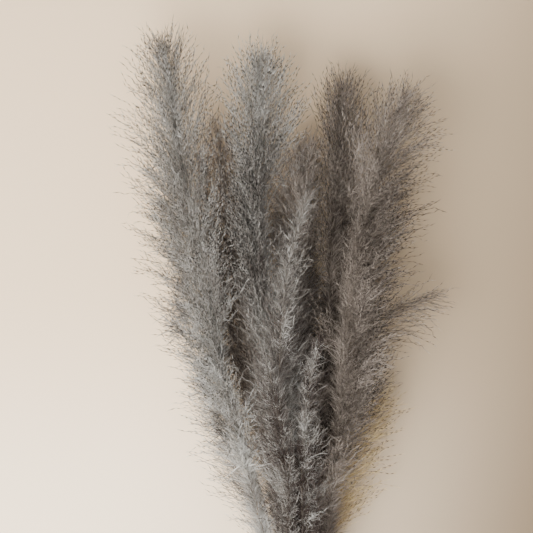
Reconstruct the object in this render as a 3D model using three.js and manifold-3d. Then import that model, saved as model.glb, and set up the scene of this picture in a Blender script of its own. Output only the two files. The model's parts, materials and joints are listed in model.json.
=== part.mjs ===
// A bundle of twelve dried pampas grass stems, tied with twine and lying on a flat surface.
//
// Units are millimetres and +Z is up. The cut ends point to -Y and the plumes to +Y. Each plant is
// one line through space: its culm runs from the cut end through the tie to the foot of the plume,
// and the plume's rachis carries on from there to the tip. Every plume is a slim core with curved
// sprays that stand out of it on all sides. Neighbouring plumes press on each other, so a spray
// bends in where it would cross into the space of the next plant, or into the surface below.
//
// It is drawn with the tie at x = 0, y = 0, and moved at the end so that the origin is at the
// middle of the underside of its bounding box.
import * as THREE from "three";
import { mergeVertices } from "three/addons/utils/BufferGeometryUtils.js";
import Module from "manifold-3d";

const wasm = await Module();
wasm.setup();

// ---------------------------------------------------------------- driving dimensions

const TIE_HEIGHT = 44; // the middle of the tie above the surface
const STEM_PITCH = 6.5; // centre to centre at the tie, where the culms are packed tight
const CUT_END_Y = -250; // the cut ends, measured from the tie
const CUT_END_STAGGER = 22; // how unevenly the stems were cut
const CUT_END_SPREAD = 2.1; // how far the stems open out again behind the tie
const CULM_RADIUS = { cut: 4.1, tie: 3.5, foot: 2.4 };
const CULM_SIDES = 6;
const CULM_STEPS = 5; // along a culm, from the tie to the plume's foot
const TIP_TUFT = 46; // the last sprays reach this far past the end of the rachis
const GAP = 0.3; // between pieces that touch

const SPRAYS_PER_MM = 0.145; // sprays on each millimetre of rachis
const GOLDEN_ANGLE = 2.39996; // from one spray to the next, round the rachis
const SPRAY_RADIUS = 4.8; // at a spray's thickest, with its hairs
const SPRAY_PLACES = [0, 0.42, 1]; // along a spray: its root, its thickest place and its tip
const SPRAY_WIDTHS = [0, 1, 0]; // there, as shares of its radius
const SPRAY_SIDES = 3;
const SPRAY_CLEARANCE = 0.6; // kept to the neighbouring plant's space
const CORE_RADIUS = 7; // the rachis with the dense bases of its sprays
const CORE_PLACES = [0, 0.08, 0.25, 0.45, 0.65, 0.85, 1.03]; // along the rachis
const CORE_WIDTHS = [0, 0.7, 1, 1, 0.8, 0.5, 0]; // there, as shares of its radius
const CORE_SIDES = 5;

const TWINE_RADIUS = 1.3;
const TWINE_TURNS = 4;
const TWINE_PITCH = 1.88 * TWINE_RADIUS; // the turns press into each other a little
const TWINE_WIDTH = TWINE_TURNS * TWINE_PITCH;
const TWINE_STEPS = 24; // round the bundle

// One row for each plant. slot is its place at the tie, by index into tieSlots(), chosen so that no
// two stems cross. tip is the furthest point of the plume; heading and pitch are the directions
// there, in degrees from +Y towards +X and from level towards +Z; lean is the slope in x and z as
// the stem leaves the tie; foot is how far from the tie the plume starts; reach is how far its
// sprays stand out; droop is how far they have sunk towards the cut ends.
const PLANTS = [
  plant("silver", 4, [-194, 896, 122], -8, 2, [-0.24, 0.16], 270, 98, 0.1),
  plant("taupe", 9, [-121, 792, 60], -6, 0, [-0.1, 0.01], 250, 72, 0.05),
  plant("silver", 1, [-56, 886, 122], 3, 3, [-0.03, 0.1], 270, 100, 0.05),
  plant("silver", 0, [26, 706, 182], 22, 6, [-0.02, 0.22], 190, 62, 0.05),
  plant("taupe", 2, [58, 846, 64], 3, 0, [0.04, 0], 260, 88, 0.05),
  plant("taupe", 3, [158, 824, 128], 28, 0, [0.23, 0.17], 240, 104, 0.3),
  plant("taupe", 11, [216, 524, 84], 82, 0, [0.2, 0.06], 150, 84, 0.3),
  plant("silver", 8, [-172, 430, 54], -46, 0, [-0.2, -0.02], 150, 72, 0.1),
  plant("straw", 10, [136, 404, 52], 42, 0, [0.15, -0.03], 140, 66, 0.1),
  plant("silver", 7, [-58, 470, 178], -14, 5, [-0.08, 0.22], 120, 52, 0.05),
  plant("silver", 6, [32, 500, 172], 16, 5, [0.05, 0.22], 120, 52, 0.05),
  plant("taupe", 5, [2, 764, 50], 2, 0, [-0.01, -0.02], 180, 78, 0.05),
];

function plant(tone, slot, tip, heading, pitch, lean, foot, reach, droop) {
  return { tone, slot, tip, heading, pitch, lean, foot, reach, droop };
}

const MATERIALS = {
  silver: new THREE.MeshStandardMaterial({ color: 0xa39c93, roughness: 0.95, metalness: 0 }),
  taupe: new THREE.MeshStandardMaterial({ color: 0x82746a, roughness: 0.95, metalness: 0 }),
  straw: new THREE.MeshStandardMaterial({ color: 0x9d9076, roughness: 0.95, metalness: 0 }),
  culm: new THREE.MeshStandardMaterial({ color: 0xb59c6c, roughness: 0.6, metalness: 0 }),
  twine: new THREE.MeshStandardMaterial({ color: 0xa88a5e, roughness: 0.9, metalness: 0 }),
};

// ---------------------------------------------------------------- small helpers

const UP = new THREE.Vector3(0, 0, 1);
const radians = THREE.MathUtils.degToRad;
const lerp = THREE.MathUtils.lerp;

// A repeatable number from 0 to 1 for a plant, a spray and a purpose.
function chance(plant, item, purpose) {
  const x = Math.sin(plant * 127.1 + item * 311.7 + purpose * 74.7 + 1) * 43758.5453;
  return x - Math.floor(x);
}

// A closed solid through rings of points. With loop, the last ring joins the first and there are no
// caps. A ring of one point closes to a tip.
function loft(rings, loop = false) {
  const position = rings.flat().flatMap((p) => [p.x, p.y, p.z]);
  const starts = [];
  rings.reduce((at, ring) => (starts.push(at), at + ring.length), 0);
  const index = [];
  const spans = loop ? rings.length : rings.length - 1;
  for (let i = 0; i < spans; i++) {
    const [a, b] = [i, (i + 1) % rings.length];
    const sides = Math.max(rings[a].length, rings[b].length);
    for (let k = 0; k < sides; k++) {
      const next = (k + 1) % sides;
      const [a0, a1] = rings[a].length > 1 ? [starts[a] + k, starts[a] + next] : [starts[a], starts[a]];
      const [b0, b1] = rings[b].length > 1 ? [starts[b] + k, starts[b] + next] : [starts[b], starts[b]];
      if (a0 !== a1) index.push(a0, a1, b0);
      if (b0 !== b1) index.push(a1, b1, b0);
    }
  }
  if (!loop) {
    const last = rings.length - 1;
    const [s0, s1] = [starts[0], starts[last]];
    for (let k = 1; k + 1 < rings[0].length; k++) index.push(s0, s0 + k + 1, s0 + k);
    for (let k = 1; k + 1 < rings[last].length; k++) index.push(s1, s1 + k, s1 + k + 1);
  }
  return new THREE.BufferGeometry()
    .setAttribute("position", new THREE.Float32BufferAttribute(position, 3))
    .setIndex(index);
}

// Two directions across a line: sideways, and up as far as the line allows.
function across(tangent) {
  const side = new THREE.Vector3().crossVectors(tangent, UP).normalize();
  return [side, new THREE.Vector3().crossVectors(side, tangent).normalize()];
}

// A tube through points, with its own radius at each; a radius of 0 makes a tip.
function tube(points, radii, sides, turn = 0) {
  const rings = points.map((point, i) => {
    if (radii[i] === 0) return [point.clone()];
    const ahead = points[Math.min(i + 1, points.length - 1)];
    const behind = points[Math.max(i - 1, 0)];
    const [side, up] = across(new THREE.Vector3().subVectors(ahead, behind).normalize());
    return Array.from({ length: sides }, (_, k) => {
      const angle = turn + (2 * Math.PI * k) / sides;
      return point
        .clone()
        .addScaledVector(side, radii[i] * Math.cos(angle))
        .addScaledVector(up, -radii[i] * Math.sin(angle));
    });
  });
  return loft(rings);
}

function solidOf(geometry) {
  const bare = new THREE.BufferGeometry()
    .setAttribute("position", geometry.getAttribute("position"))
    .setIndex(geometry.getIndex());
  const merged = mergeVertices(bare, 1e-4);
  return new wasm.Manifold(
    new wasm.Mesh({
      numProp: 3,
      vertProperties: merged.getAttribute("position").array,
      triVerts: new Uint32Array(merged.getIndex().array),
    }),
  );
}

function geometryOf(solid) {
  const mesh = solid.getMesh();
  const position = new Float32Array(mesh.numVert * 3);
  for (let i = 0; i < mesh.numVert; i++) {
    position.set(mesh.vertProperties.subarray(i * mesh.numProp, i * mesh.numProp + 3), i * 3);
  }
  const geometry = new THREE.BufferGeometry()
    .setAttribute("position", new THREE.BufferAttribute(position, 3))
    .setIndex(new THREE.BufferAttribute(mesh.triVerts, 1));
  geometry.computeVertexNormals();
  return geometry;
}

function fuse(geometries) {
  return geometries.map(solidOf).reduce((all, next) => all.add(next));
}

// The largest connected body of a solid: cutting and fusing may leave a loose scrap.
function withoutScraps(solid) {
  return solid.decompose().reduce((best, body) => (body.volume() > best.volume() ? body : best));
}

// ---------------------------------------------------------------- where each plant runs

// The places of twelve round culms packed tight: three in the middle and nine round them.
function tieSlots() {
  const circles = [
    { radius: STEM_PITCH / Math.sqrt(3), angles: [90, 210, 330] },
    { radius: (2 * STEM_PITCH) / Math.sqrt(3), angles: [30, 150, 270] },
    { radius: STEM_PITCH * Math.sqrt(7 / 3), angles: [70.9, 109.1, 190.9, 229.1, 310.9, 349.1] },
  ];
  return circles.flatMap(({ radius, angles }) =>
    angles.map((a) => new THREE.Vector2(radius * Math.cos(radians(a)), radius * Math.sin(radians(a)))),
  );
}

function buildAxis(plant, n) {
  const slot = tieSlots()[plant.slot];
  const start = new THREE.Vector3(slot.x, 0, TIE_HEIGHT + slot.y);
  const [heading, pitch] = [radians(plant.heading), radians(plant.pitch)];
  const last = new THREE.Vector3(
    Math.sin(heading) * Math.cos(pitch),
    Math.cos(heading) * Math.cos(pitch),
    Math.sin(pitch),
  );
  const end = new THREE.Vector3(...plant.tip).addScaledVector(last, -TIP_TUFT);
  const leaving = new THREE.Vector3(plant.lean[0], 1, plant.lean[1]);
  const curve = new THREE.CubicBezierCurve3(
    start,
    start.clone().addScaledVector(leaving, 0.36 * end.y),
    end.clone().addScaledVector(last, -0.34 * end.y),
    end,
  );
  curve.arcLengthDivisions = 400;
  const length = curve.getLength();
  // Where the curve reaches the plume's foot, as a share of its length.
  let foot = 0;
  while (curve.getPointAt(foot).y < plant.foot) foot += 0.002;
  const cut = new THREE.Vector3(
    slot.x * CUT_END_SPREAD,
    CUT_END_Y + CUT_END_STAGGER * (chance(n, 0, 1) - 0.5),
    0,
  );
  return { plant, n, curve, length, foot, slot, start, end, last, cut };
}

const axes = PLANTS.map(buildAxis);

// Behind the tie the stems sink until the lowest cut end rests on the surface.
const lowestSlot = Math.min(...axes.map(({ slot }) => slot.y));
for (const axis of axes) {
  axis.cut.z = CULM_RADIUS.cut + (axis.slot.y - lowestSlot) * CUT_END_SPREAD;
}

// The plant's line at a distance past the tie; past the rachis it runs straight on.
function along(axis, distance) {
  const share = Math.min(distance / axis.length, 1);
  const point = axis.curve.getPointAt(share);
  const tangent = axis.curve.getTangentAt(share);
  if (distance > axis.length) point.addScaledVector(tangent, distance - axis.length);
  return { point, tangent };
}

// The same line as short straight pieces, from the cut end to the tip, for measuring distances.
const LINE_STEPS = 48;
for (const axis of axes) {
  const total = axis.length + TIP_TUFT;
  const share = Array.from({ length: LINE_STEPS + 1 }, (_, i) => i / LINE_STEPS);
  axis.line = [axis.cut, ...share.map((s) => along(axis, total * s).point)];
}

function distanceTo(axis, point) {
  const segment = new THREE.Line3();
  const nearest = new THREE.Vector3();
  let best = Infinity;
  for (let i = 0; i + 1 < axis.line.length; i++) {
    segment.set(axis.line[i], axis.line[i + 1]).closestPointToPoint(point, true, nearest);
    best = Math.min(best, nearest.distanceToSquared(point));
  }
  return Math.sqrt(best);
}

// How much nearer a point is to its own plant than to any other.
function room(axis, point) {
  const own = distanceTo(axis, point);
  const others = axes.filter((other) => other !== axis);
  return Math.min(...others.map((other) => distanceTo(other, point) - own));
}

// ---------------------------------------------------------------- culms

function culm(axis) {
  const footAt = axis.foot * axis.length - GAP / 2;
  const points = [axis.cut];
  const radii = [CULM_RADIUS.cut];
  for (let i = 0; i <= CULM_STEPS; i++) {
    const share = i / CULM_STEPS;
    points.push(along(axis, footAt * share).point);
    radii.push(lerp(CULM_RADIUS.tie, CULM_RADIUS.foot, share));
  }
  return tube(points, radii, CULM_SIDES, Math.PI / CULM_SIDES);
}

// ---------------------------------------------------------------- plumes

// A core that swells from the culm's end, is full along the middle and ends in a point. It is
// thinner where a neighbouring plant or the surface is close.
function core(axis) {
  const from = axis.foot * axis.length + GAP / 2;
  const points = CORE_PLACES.map((share) => along(axis, lerp(from, axis.length, share)).point);
  const radii = points.map((point, i) => {
    if (i === 0) return CULM_RADIUS.foot;
    if (CORE_WIDTHS[i] === 0) return 0;
    const free = Math.min(room(axis, point) / 2 - SPRAY_CLEARANCE, point.z);
    return Math.max(Math.min(CORE_RADIUS * CORE_WIDTHS[i], free), 1.2);
  });
  return tube(points, radii, CORE_SIDES);
}

// How far round, in radians, a pressed spray may turn, in the order tried; the share of its full
// spread that is open enough to stop trying; and the share at which it lies flat in the core.
const SIDEWAYS = [0, 0.6, -0.6, 1.2, -1.2, 1.8, -1.8, 2.4, -2.4, 3.1];
const OPEN_ENOUGH = 0.8;
const TOO_PRESSED = 0.3;

// One spray: an arc that leaves the rachis and opens outwards. Sprays are short at the plume's foot,
// longest at about two thirds of its length and shorter again at the tip, where they point ahead.
// Where the plume is pressed by its neighbours, a spray is turned round the rachis to an open side.
function spray(axis, item, count) {
  const { plant, n } = axis;
  const up = (item + 0.5) / count;
  const size = 0.82 + 0.36 * chance(n, item, 3);
  const reach = plant.reach * size * (0.3 + 1.5 * up ** 0.75 * (1 - 0.72 * up ** 3));
  const opening = radians(60 - 38 * up ** 2.5) * (0.88 + 0.24 * chance(n, item, 4));
  const from = lerp(axis.foot * axis.length + 8, axis.length - 2, up);
  const radii = SPRAY_WIDTHS.map((w) => w * SPRAY_RADIUS * (0.75 + 0.25 * size));
  const aim = item * GOLDEN_ANGLE + chance(n, item, 2) * 0.5;
  let best = { open: -1 };
  for (const aside of SIDEWAYS) {
    const turn = aim + aside;
    const found = SPRAY_PLACES.map((t, i) => sprayPoint(axis, from, turn, reach, opening, t, radii[i]));
    const open = Math.min(...found.slice(1).map(({ share }) => share)) - 0.03 * Math.abs(aside);
    if (open > best.open) best = { open, turn, points: found.map(({ p }) => p) };
    if (open > OPEN_ENOUGH) break;
  }
  if (best.open < TOO_PRESSED) return null;
  return tube(best.points, radii, SPRAY_SIDES, best.turn);
}

// A point of the arc, t from 0 at the rachis to 1 at the tip. It is drawn in towards its own rachis
// until it is clear of the other plants, and one that reaches the surface lies along it.
function sprayPoint(axis, from, turn, reach, opening, t, radius) {
  const [first, bend] = [0.7 * opening, 0.55 * opening];
  const forward = (reach * (Math.sin(first + bend * t) - Math.sin(first))) / bend;
  const outward = (reach * (Math.cos(first) - Math.cos(first + bend * t))) / bend;
  const { point, tangent } = along(axis, from + forward);
  const [side, up] = across(tangent);
  const offset = new THREE.Vector3()
    .addScaledVector(side, outward * Math.cos(turn))
    .addScaledVector(up, outward * Math.sin(turn));
  offset.y -= axis.plant.droop * outward * t * t;
  const place = (share) => {
    const p = point.clone().addScaledVector(offset, share);
    p.z = Math.max(p.z, 0.55 * radius);
    return p;
  };
  const clear = (share) => room(axis, place(share)) > 2 * (radius + SPRAY_CLEARANCE);
  if (t === 0 || clear(1)) return { p: place(1), share: 1 };
  let [low, high] = [0, 1];
  for (let i = 0; i < 6; i++) {
    const middle = (low + high) / 2;
    if (clear(middle)) low = middle;
    else high = middle;
  }
  return { p: place(low), share: low };
}

function plume(axis) {
  const length = (1 - axis.foot) * axis.length;
  const count = Math.round(length * SPRAYS_PER_MM);
  const sprays = Array.from({ length: count }, (_, i) => spray(axis, i, count)).filter(Boolean);
  return withoutScraps(fuse([core(axis), ...sprays]).trimByPlane([0, 0, 1], 0));
}

// ---------------------------------------------------------------- the tie

// How far the culms reach in one direction, over the width of the tie, and which place that is at.
function bundleEdge(angle) {
  const out = new THREE.Vector2(Math.cos(angle), Math.sin(angle));
  let best = { reach: -Infinity };
  for (const axis of axes) {
    for (const side of [-0.5, 0, 0.5]) {
      const y = side * TWINE_WIDTH;
      const ahead = along(axis, Math.max(y, 0)).point;
      const behind = axis.start.clone().lerp(axis.cut, Math.max(-y, 0) / -axis.cut.y);
      const p = y > 0 ? ahead : behind;
      const spot = new THREE.Vector2(p.x, p.z - TIE_HEIGHT);
      const reach = spot.dot(out);
      if (reach > best.reach) best = { reach, spot };
    }
  }
  return { out, spot: best.spot };
}

// A point of the tie: an angle round the bundle, a height above the culms and a place along Y.
function onTie(angle, height, y) {
  const { out, spot } = bundleEdge(angle);
  const r = CULM_RADIUS.tie + GAP + height;
  return new THREE.Vector3(spot.x + out.x * r, y, TIE_HEIGHT + spot.y + out.y * r);
}

// The turns lie side by side, so the section through all of them is a flat inside with round ridges.
function tieSection() {
  const section = [];
  for (let turn = 0; turn < TWINE_TURNS; turn++) {
    const y = ((turn + 0.5) / TWINE_TURNS - 0.5) * TWINE_WIDTH;
    section.push([TWINE_RADIUS, y - TWINE_PITCH / 2], [2 * TWINE_RADIUS, y]);
  }
  section.push([TWINE_RADIUS, TWINE_WIDTH / 2], [0, TWINE_WIDTH / 2 - 0.4], [0, -TWINE_WIDTH / 2 + 0.4]);
  return section;
}

function tie() {
  const section = tieSection();
  const rings = Array.from({ length: TWINE_STEPS }, (_, i) =>
    section.map(([height, y]) => onTie((2 * Math.PI * i) / TWINE_STEPS, height, y)),
  );
  // The knot is two short crossed lumps on top, and the two loose ends leave it to either side.
  const knot = [-1, 1].map((s) => {
    const points = [-1, -0.4, 0.4, 1].map((t) =>
      onTie(Math.PI / 2 + 0.16 * t, 2.6 * TWINE_RADIUS + 0.6 * s, s * t * 3.4),
    );
    return tube(points, [0.8, 1.5, 1.5, 0.8].map((w) => w * TWINE_RADIUS), 5);
  });
  const ends = [-1, 1].map((s) => {
    const points = [0, 0.25, 0.5, 0.75, 1].map((t) =>
      onTie(
        Math.PI / 2 + s * (0.06 + 1.05 * t),
        2.6 * TWINE_RADIUS + 5 * Math.sin(0.9 * Math.PI * t),
        s * (2 + 13 * t),
      ),
    );
    return tube(points, [1, 0.95, 0.95, 0.95, 0.9].map((w) => w * TWINE_RADIUS), 5);
  });
  return withoutScraps(fuse([loft(rings, true), ...knot, ...ends]));
}

// ---------------------------------------------------------------- the bundle

const bundle = new THREE.Group();
bundle.name = "pampas_bundle";

function place(name, geometry, material) {
  const mesh = new THREE.Mesh(geometry, material);
  mesh.name = name;
  bundle.add(mesh);
}

for (const axis of axes) {
  const number = String(axis.n + 1).padStart(2, "0");
  place(`stem_${number}`, culm(axis), MATERIALS.culm);
  place(`plume_${number}`, geometryOf(plume(axis)), MATERIALS[axis.plant.tone]);
}
place("tie", geometryOf(tie()), MATERIALS.twine);

const box = new THREE.Box3().setFromObject(bundle, true);
const middle = box.getCenter(new THREE.Vector3());
bundle.position.set(-middle.x, -middle.y, -box.min.z);

export default bundle;
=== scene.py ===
"""The looks of a bundle of dried pampas grass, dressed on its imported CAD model.

Each plume is a mesh of its real parts: the rachis, the branches that stand out of it, the thin strands on
every branch, the spikelets strung along each strand and the silky hairs between them. The branches follow
the rule that also places the sprays of the CAD plume, so the fine mesh keeps its form. The culms get their
nodes, sheath remains and cut ends, and the tie becomes three-ply twine with a knot and frayed ends.

The rules below are in millimetres, with the tie at x = 0, y = 0 and the surface at z = 0. Finished meshes
are in metres, moved by offset to where the frame holds the CAD model.
"""
import json
import math
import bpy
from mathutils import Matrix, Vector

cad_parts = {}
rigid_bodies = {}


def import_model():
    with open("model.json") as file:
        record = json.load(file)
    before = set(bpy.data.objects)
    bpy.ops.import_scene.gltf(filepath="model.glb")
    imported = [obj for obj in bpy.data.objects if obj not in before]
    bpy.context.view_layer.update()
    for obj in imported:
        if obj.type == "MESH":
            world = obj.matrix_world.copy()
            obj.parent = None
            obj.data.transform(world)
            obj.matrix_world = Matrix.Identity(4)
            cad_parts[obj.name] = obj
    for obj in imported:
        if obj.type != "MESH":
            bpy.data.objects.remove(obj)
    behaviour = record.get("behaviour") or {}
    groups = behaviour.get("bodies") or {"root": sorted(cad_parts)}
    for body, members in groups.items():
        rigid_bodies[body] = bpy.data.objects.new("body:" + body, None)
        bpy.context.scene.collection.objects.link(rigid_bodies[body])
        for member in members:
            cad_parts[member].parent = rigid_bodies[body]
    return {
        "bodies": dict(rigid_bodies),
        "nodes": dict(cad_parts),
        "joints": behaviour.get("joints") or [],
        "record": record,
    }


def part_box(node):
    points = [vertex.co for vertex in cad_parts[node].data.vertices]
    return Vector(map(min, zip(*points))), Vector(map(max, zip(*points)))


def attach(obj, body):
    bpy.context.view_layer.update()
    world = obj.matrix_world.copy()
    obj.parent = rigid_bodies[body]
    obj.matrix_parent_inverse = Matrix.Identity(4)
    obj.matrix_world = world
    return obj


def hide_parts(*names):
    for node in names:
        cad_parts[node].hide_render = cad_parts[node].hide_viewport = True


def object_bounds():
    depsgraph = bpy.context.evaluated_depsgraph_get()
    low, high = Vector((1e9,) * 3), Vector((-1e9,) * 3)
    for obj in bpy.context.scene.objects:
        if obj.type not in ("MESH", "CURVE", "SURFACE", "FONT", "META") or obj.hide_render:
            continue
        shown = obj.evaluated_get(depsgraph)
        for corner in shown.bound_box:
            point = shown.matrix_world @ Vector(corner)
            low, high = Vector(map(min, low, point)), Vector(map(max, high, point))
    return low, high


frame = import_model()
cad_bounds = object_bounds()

from types import SimpleNamespace

import bpy
import numpy as np

MM = 0.001  # in metres
Z = np.array((0.0, 0.0, 1.0))

# ---------------- driving dimensions, as in the CAD

TIE_HEIGHT = 44  # the middle of the tie above the surface
STEM_PITCH = 6.5  # centre to centre at the tie
CUT_END_Y = -250  # the cut ends, measured from the tie
CUT_END_STAGGER = 22  # how unevenly the stems were cut
CUT_END_SPREAD = 2.1  # how far the stems open out again behind the tie
CULM_CUT, CULM_TIE, CULM_FOOT = 4.1, 3.5, 2.4  # culm radii at the cut end, the tie and the plume's foot
CULM_SIDES, CULM_STEPS = 6, 5  # round a solid culm, and along it from the tie to the plume's foot
TIP_TUFT = 46  # the last sprays reach this far past the end of the rachis
GAP = 0.3  # between pieces that touch

SPRAYS_PER_MM = 0.145  # on each millimetre of rachis
GOLDEN_ANGLE = 2.39996  # from one spray to the next, round the rachis
SPRAY_RADIUS = 4.8  # at a spray's thickest
SPRAY_PLACES = (0, 0.42, 1)  # along a spray: its root, its thickest place and its tip
SPRAY_WIDTHS = (0, 1, 0)  # there, as shares of its radius
SPRAY_CLEARANCE = 0.6  # kept to the neighbouring plant's space
SIDEWAYS = (0, 0.6, -0.6, 1.2, -1.2, 1.8, -1.8, 2.4, -2.4, 3.1)  # how far round a pressed spray may turn
OPEN_ENOUGH = 0.8  # the share of its full spread at which a spray stops turning
TOO_PRESSED = 0.3  # and the share under which it is left out

TWINE_RADIUS = 1.3
TWINE_TURNS = 4
TWINE_PITCH = 1.88 * TWINE_RADIUS  # the turns press into each other a little
TWINE_WIDTH = TWINE_TURNS * TWINE_PITCH

# One row for each plant: its tone; its place at the tie, by index into tie_slots(); the plume's furthest
# point; its heading and pitch there, in degrees from +Y towards +X and from level towards +Z; its slope in
# x and z as it leaves the tie; how far from the tie the plume starts; how far its sprays stand out; and
# how far they have sunk towards the cut ends.
PLANTS = (
    ("silver", 4, (-194, 896, 122), -8, 2, (-0.24, 0.16), 270, 98, 0.1),
    ("taupe", 9, (-121, 792, 60), -6, 0, (-0.1, 0.01), 250, 72, 0.05),
    ("silver", 1, (-56, 886, 122), 3, 3, (-0.03, 0.1), 270, 100, 0.05),
    ("silver", 0, (26, 706, 182), 22, 6, (-0.02, 0.22), 190, 62, 0.05),
    ("taupe", 2, (58, 846, 64), 3, 0, (0.04, 0), 260, 88, 0.05),
    ("taupe", 3, (158, 824, 128), 28, 0, (0.23, 0.17), 240, 104, 0.3),
    ("taupe", 11, (216, 524, 84), 82, 0, (0.2, 0.06), 150, 84, 0.3),
    ("silver", 8, (-172, 430, 54), -46, 0, (-0.2, -0.02), 150, 72, 0.1),
    ("straw", 10, (136, 404, 52), 42, 0, (0.15, -0.03), 140, 66, 0.1),
    ("silver", 7, (-58, 470, 178), -14, 5, (-0.08, 0.22), 120, 52, 0.05),
    ("silver", 6, (32, 500, 172), 16, 5, (0.05, 0.22), 120, 52, 0.05),
    ("taupe", 5, (2, 764, 50), 2, 0, (-0.01, -0.02), 180, 78, 0.05),
)

# ---------------- driving dimensions of the fine parts

# what a plume looks like, and below it what sets single plants apart
USUAL_LOOKS = dict(
    density=1,  # how closely strands and hairs stand
    backing=1,  # how much closer and wider the fuzz is, low down
    tip_thin=0.3,  # how much thinner the strands stand at the tip
    stray=0.14,  # how far strands stray from the fan
    tip_drop=0,  # how far short of the solid's tip the plume ends
    slender=1,  # how far its branches stand out
    taper=0,  # and how much less they do so at the tip
    tone=0,  # how much paler it is than its kind
    darker=0.27,  # painted shade: how much deeper in tone it gets near the tie
    pale_tip=0.12,  # how much paler it gets at the tip
    pale_foot=(0, 1, 0),  # how much paler it gets low down, from and to these distances past the tie
    dark_hidden=(0, 0),  # how far its dark glumes are held back: everywhere, and low down
    pressed=0,  # painted shade: how much deeper in tone its sides are where it lies under its neighbour
    gap_hairs=0,  # wide hairs that close the gap beside it, on each millimetre of branch
)
OWN_LOOKS = (
    dict(tone=0.06, pale_foot=(0.36, 520, 290), gap_hairs=0.27),
    dict(
        tone=0.05, pale_tip=0.9, pale_foot=(0.1, 620, 480), dark_hidden=(0.2, 1.4), pressed=0.12,
        backing=1.6, tip_thin=0.75, gap_hairs=0.27,
    ),
    dict(tone=0.1, pale_tip=0.3, dark_hidden=(0, 1.4), tip_drop=8, pressed=0.12),
    dict(
        pale_tip=-0.2, dark_hidden=(0, 1.4), density=0.75, tip_thin=0.5, stray=0.32, tip_drop=12,
        slender=0.85, taper=0.6,
    ),
    dict(pale_tip=0.25, dark_hidden=(0, 1.4), pressed=0.12, gap_hairs=0.27),
    dict(tone=0.06, pale_tip=0.28, pale_foot=(0.2, 380, 250)),
    dict(tone=0.12, density=0.33, stray=0.22, slender=0.85),
    dict(tone=0.32, darker=0, density=0.42),
    dict(tone=0.9, darker=0, density=0.5),
    dict(tone=-0.04, pale_tip=0.1, dark_hidden=(0, 1.4), density=0.8, stray=0.28, slender=0.85, taper=0.6),
    dict(tone=-0.1, pale_tip=0.0, dark_hidden=(0, 1.4), density=0.8, stray=0.28, slender=0.85, taper=0.65),
    dict(
        tone=0.08, pale_tip=0.8, dark_hidden=(0.25, 1.4), pressed=0.12, density=0.9, backing=1.5,
        tip_thin=0.4, gap_hairs=0.27,
    ),
)

FOOT_PART = 0.25  # the lowest share of a plume, which is its foot
TIP_PART = 0.5  # from this share of a plume on, it thins towards its tip
PLUME_SEED, CULM_SEED, TIE_SEED = 100, 300, 500
FLOOR_CLEARANCE = 0.4
HIGHEST = 1000 * cad_bounds[1][2] + 5

RACHIS_RINGS, RACHIS_SIDES = 40, 7
RACHIS_TIP_RADIUS = 0.35
RACHIS_TAPER = 0.35  # under 1, so it loses most of its width near the foot
RACHIS_OVER = 6  # past the plume's top

BRANCHES_PER_SPRAY = 4  # one for each spray of the CAD, and the rest between it and the next
FIRST_REACH, REST_REACH = (0.7, 0.85), (0.5, 0.82)  # how far those two go towards their spray's tip
FOOT_SHRINK = 0.35  # how much shorter they are at the foot
BRANCH_RINGS, BRANCH_SIDES = 4, 3
BRANCH_RADII = (0.45, 0.12)  # at the root and at the tip
BRANCH_ACUTE = 0.5  # a branch starts this share of its spread further down the rachis
BRANCH_PAST_FOOT = 85  # the lowest ones start this far down the culm
BRANCH_BEND = 0.16  # as a share of its length
BRANCH_LOWEST = 2  # the height that its middle keeps
BRANCH_OVER = 0.3  # how far it may pass the plume's top, as a share of what a strand may
MOST_CUT = 0.5  # the share that is cut at most, to keep to that

STRANDS_PER_MM = 0.138  # of branch
FOOT_THIN = 0.4  # how much thinner they stand at the foot
STRAND_FROM = 0.12  # they stand on the branch from this share of its length on
STRAND_LENGTH = (54, 42)  # at a branch's root and at its tip
STRAND_STRETCH = (0.75, 1.2)
STRAND_TAPER = 0.8  # the share of a plume's taper that goes into its strands
STRAND_PAST_BRANCH = 34  # the furthest that a strand goes past its branch
STRAND_LEAVES = (6, 40)  # degrees off its branch
STRAND_TURNS = 0.7  # under 1, so a strand turns to the fan's direction early
STRAND_SINK = 0.35  # how far the most sunken strands turn to the cut ends
DROOP_SINK = (0.5, 4.5)  # the share of it without droop, and more for each unit of droop
STRAND_WANDER = (0.05, 0.07)  # how far its direction strays at its root, and at each spikelet
TIP_OVER = 68  # the furthest that a strand goes past the plume's top
TIP_TAPER = 0.7  # how much less that is for each millimetre out from the rachis
FAN = (64, 42)  # degrees that the outermost strands lean off the rachis, at a plume's foot and at its tip
FAN_FULL = 0.5  # they lean that far from this share of the plume's reach outward
FAN_LEAST = 0.55  # and this share of it at the rachis
FAN_SPREAD = (0.6, 1.12)

SPIKELET_PITCH = 8.0
SPIKELET_LENGTH = 11.4
SPIKELET_WIDTH = 0.82
SPIKELET_FADE = (0.82, 1.18)  # its width within the plume and at the rim, as shares of that
SPIKELET_ASIDE = math.radians(15)  # spikelets lean out to alternate sides of their strand
SPIKELET_THICKEST = 0.32  # along it
OUTER_FROM = (0.42, 0.78)  # from here out a strand's spikelets show their dark glumes
RIM_FROM, RIM_OVER = 0.7, 0.3  # the last part of a strand
RIM_DEEPER = 0.24  # and how much deeper in tone it is

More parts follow.
